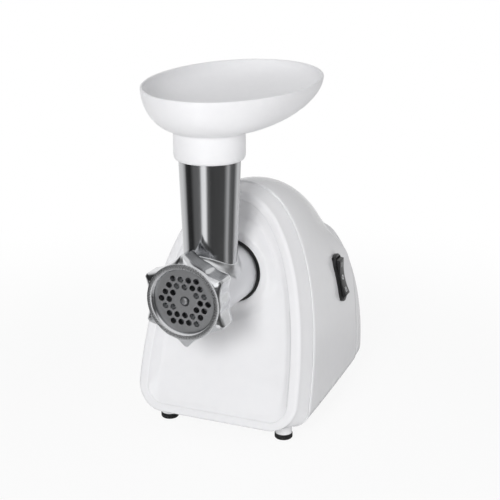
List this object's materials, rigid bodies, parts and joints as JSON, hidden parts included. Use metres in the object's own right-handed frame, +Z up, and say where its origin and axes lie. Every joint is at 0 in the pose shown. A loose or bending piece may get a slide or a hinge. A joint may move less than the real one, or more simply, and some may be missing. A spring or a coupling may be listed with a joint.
{
  "type": "electric meat grinder",
  "caption": "White electric meat grinder with an arched body on feet, a metal grinding head with feed tube, lobed ring nut and perforated plate, an oval hopper tray and a side rocker switch.",
  "frame": {"origin": "centre of the bounding box in plan, on the table under the feet", "axes": "+Z up, +Y from the grinding head towards the back of the body, +X to the side with the switch"},
  "size_m": [0.1526, 0.23, 0.2897],
  "materials": {
    "white_body": "smooth white moulded plastic",
    "white_tray": "smooth white moulded plastic",
    "black_rubber": "soft black rubber",
    "plated_screw": "zinc-plated steel",
    "black_switch": "black plastic",
    "brass_parts": "plain brass and bronze",
    "grey_housing": "grey glass-filled plastic",
    "natural_nylon": "natural nylon",
    "film_capacitor": "yellow film capacitor case",
    "ground_steel": "ground steel",
    "motor_laminations": "stacked steel laminations",
    "copper_winding": "varnished copper wire",
    "zinc_bracket": "die-cast zinc alloy",
    "brown_phenolic": "brown phenolic moulding",
    "carbon": "pressed carbon",
    "cast_head": "bead-blasted cast aluminium",
    "polished_tube": "polished stainless steel",
    "cast_screw": "as-cast aluminium",
    "cutter_steel": "ground stainless steel",
    "cast_nut": "polished cast aluminium"
  },
  "bodies": {
    "body": {"front_shell": "white_body", "rear_shell": "white_body", "rear_cover": "white_body", "base_plate": "white_body", "foot_front_left": "black_rubber", "foot_front_right": "black_rubber", "foot_rear_left": "black_rubber", "foot_rear_right": "black_rubber", "base_screws": "plated_screw", "shell_screws": "plated_screw", "cord_gland": "black_switch", "switch_body": "black_switch", "switch_tabs": "brass_parts", "terminal_block": "grey_housing", "capacitor": "film_capacitor", "lock_socket": "grey_housing", "socket_screws": "plated_screw", "lock_spring": "plated_screw", "gearbox_housing": "grey_housing", "gearbox_cover": "grey_housing", "gearbox_screws": "plated_screw", "output_front_bush": "brass_parts", "output_rear_bush": "brass_parts", "second_pin": "ground_steel", "first_pin": "ground_steel", "stator_core": "motor_laminations", "field_coils": "copper_winding", "motor_front_bracket": "zinc_bracket", "motor_rear_bracket": "zinc_bracket", "front_bearing": "brass_parts", "rear_bearing": "brass_parts", "brush_holders": "brown_phenolic", "carbon_brushes": "carbon", "motor_bolts": "plated_screw"},
    "head": {"head_barrel": "cast_head", "feed_tube": "polished_tube", "barrel_seal": "black_rubber", "screw_bush": "brass_parts", "thrust_washer": "natural_nylon", "grinding_plate": "cutter_steel"},
    "ring_nut": {"ring_nut": "cast_nut"},
    "tray": {"hopper_tray": "white_tray"},
    "screw": {"feed_screw": "cast_screw", "knife": "cutter_steel"},
    "output": {"output_gear": "natural_nylon", "output_shaft": "ground_steel"},
    "second": {"second_gear": "natural_nylon"},
    "first": {"first_gear": "natural_nylon"},
    "rotor": {"motor_shaft": "ground_steel", "rotor_core": "motor_laminations", "rotor_windings": "copper_winding", "commutator": "copper_winding", "cooling_fan": "black_switch"},
    "rocker": {"rocker": "black_switch"},
    "lock_button": {"lock_button": "white_body"}
  },
  "joints": [
    {"name": "head_turn", "type": "hinge", "parent": "body", "child": "head", "pos_m": [0, 0, 0.135], "axis": [0, -1, 0], "range_deg": [0, 35]},
    {"name": "ring_nut_turn", "type": "hinge", "parent": "head", "child": "ring_nut", "pos_m": [0, 0, 0.135], "axis": [0, -1, 0], "range_deg": [0, 360]},
    {"name": "tray_lift", "type": "slide", "parent": "head", "child": "tray", "axis": [0, 0, 1], "range_m": [0, 0.08]},
    {"name": "rotor_spin", "type": "hinge", "parent": "body", "child": "rotor", "pos_m": [0, 0, 0.055], "axis": [0, 1, 0], "continuous": true},
    {"name": "first_gear_spin", "type": "hinge", "parent": "body", "child": "first", "pos_m": [0.00985, 0, 0.08121], "axis": [0, 1, 0], "continuous": true},
    {"name": "second_gear_spin", "type": "hinge", "parent": "body", "child": "second", "pos_m": [-0.022, 0, 0.101], "axis": [0, 1, 0], "continuous": true},
    {"name": "output_spin", "type": "hinge", "parent": "body", "child": "output", "pos_m": [0, 0, 0.135], "axis": [0, 1, 0], "continuous": true},
    {"name": "feed_screw_spin", "type": "hinge", "parent": "body", "child": "screw", "pos_m": [0, 0, 0.135], "axis": [0, 1, 0], "continuous": true},
    {"name": "rocker_tilt", "type": "hinge", "parent": "body", "child": "rocker", "pos_m": [0.06204, 0.05485, 0.11062], "axis": [-0.075, 0.9972, 0], "range_deg": [-12, 12]},
    {"name": "lock_button_press", "type": "slide", "parent": "body", "child": "lock_button", "axis": [0, 1, 0], "range_m": [0, 0.004], "stiffness_N_per_m": 400, "springref_m": -0.002, "deforming": ["lock_spring"]}
  ],
  "couplings": [
    {"joint": "first_gear_spin", "follows": "rotor_spin", "ratio": -0.16667},
    {"joint": "second_gear_spin", "follows": "rotor_spin", "ratio": 0.041667},
    {"joint": "output_spin", "follows": "rotor_spin", "ratio": -0.011905},
    {"joint": "feed_screw_spin", "follows": "rotor_spin", "ratio": -0.011905}
  ]
}
